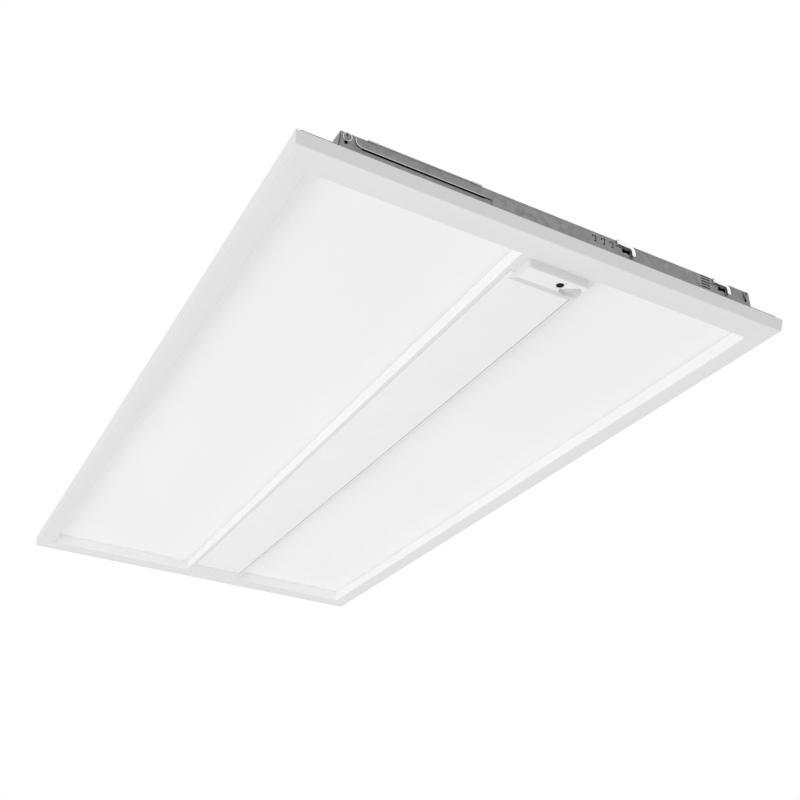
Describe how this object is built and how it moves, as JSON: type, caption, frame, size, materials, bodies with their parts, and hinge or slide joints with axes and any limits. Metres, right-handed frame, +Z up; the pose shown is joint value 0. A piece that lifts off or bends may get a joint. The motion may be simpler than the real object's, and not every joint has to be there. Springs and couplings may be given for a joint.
{
  "type": "recessed troffer light",
  "caption": "recessed ceiling troffer light with a flat white bezel, opal lenses each side of a flush centre strip, a sensor pod and a galvanised housing",
  "frame": {"origin": "middle of the ceiling plane, on which the face of the bezel lies", "axes": "+X across the light, +Y along it away from the sensor end, +Z up into the ceiling"},
  "size_m": [0.603, 1.213, 0.0496],
  "materials": {
    "enamel": "white baked enamel, satin",
    "white_plastic": "white moulded, fine texture",
    "black_lens": "black, polished",
    "clear_plastic": "smoked clear, polished",
    "opal": "opal acrylic, matt",
    "board": "green solder mask",
    "board_white": "white solder mask",
    "lead": "grey insulation",
    "supply_lead": "black insulation",
    "galvanised": "hot-dip galvanised sheet, matt",
    "spring_steel": "zinc-plated spring steel",
    "steel": "zinc-plated steel",
    "ground_green": "green coated",
    "driver_white": "white painted",
    "terminal": "natural nylon",
    "black_plastic": "black nylon"
  },
  "bodies": {
    "housing": {"bezel_frame": "enamel", "centre_channel": "enamel", "centre_cover": "enamel", "sensor_pod": "white_plastic", "sensor_lens": "black_lens", "indicator_pipe": "clear_plastic", "sensor_board": "board", "sensor_lead": "lead", "lens_left": "opal", "lens_right": "opal", "reflector_left": "enamel", "reflector_right": "enamel", "led_board_1": "board_white", "led_board_2": "board_white", "led_board_3": "board_white", "led_board_4": "board_white", "board_rivets": "white_plastic", "board_leads": "lead", "housing_tray": "galvanised", "end_plate_near": "galvanised", "end_plate_far": "galvanised", "door_pin": "steel", "clip_pins": "steel", "cover_springs": "spring_steel", "channel_screws": "steel", "frame_screws": "steel", "plate_screws": "steel", "access_screws": "steel", "driver_screws": "steel", "ground_screw": "ground_green", "driver_access_plate": "galvanised", "driver_base": "galvanised", "driver_case": "driver_white", "driver_terminals": "terminal", "knockout_disc": "galvanised", "supply_bushing": "black_plastic", "supply_terminal": "terminal", "supply_leads": "supply_lead"},
    "wiring_door": {"wiring_door": "galvanised"},
    "grid_clip_near_inner": {"grid_clip_near_inner": "spring_steel"},
    "grid_clip_near_outer": {"grid_clip_near_outer": "spring_steel"},
    "grid_clip_far_inner": {"grid_clip_far_inner": "spring_steel"},
    "grid_clip_far_outer": {"grid_clip_far_outer": "spring_steel"},
    "test_button": {"test_button": "white_plastic"}
  },
  "joints": [
    {"name": "door_hinge", "type": "hinge", "parent": "housing", "child": "wiring_door", "pos_m": [-0.1645, -0.6041, 0.0371], "axis": [-1, 0, 0], "range_deg": [0, 105]},
    {"name": "clip_near_inner_swing", "type": "hinge", "parent": "housing", "child": "grid_clip_near_inner", "pos_m": [0.0695, -0.6041, 0.03445], "axis": [0, 0, -1], "range_deg": [0, 90]},
    {"name": "clip_near_outer_swing", "type": "hinge", "parent": "housing", "child": "grid_clip_near_outer", "pos_m": [0.2035, -0.6041, 0.03445], "axis": [0, 0, -1], "range_deg": [0, 90]},
    {"name": "clip_far_inner_swing", "type": "hinge", "parent": "housing", "child": "grid_clip_far_inner", "pos_m": [-0.0695, 0.6041, 0.03445], "axis": [0, 0, -1], "range_deg": [0, 90]},
    {"name": "clip_far_outer_swing", "type": "hinge", "parent": "housing", "child": "grid_clip_far_outer", "pos_m": [-0.2035, 0.6041, 0.03445], "axis": [0, 0, -1], "range_deg": [0, 90]},
    {"name": "button_press", "type": "slide", "parent": "housing", "child": "test_button", "axis": [0, 0, 1], "range_m": [0, 0.001], "stiffness_N_per_m": 300}
  ]
}
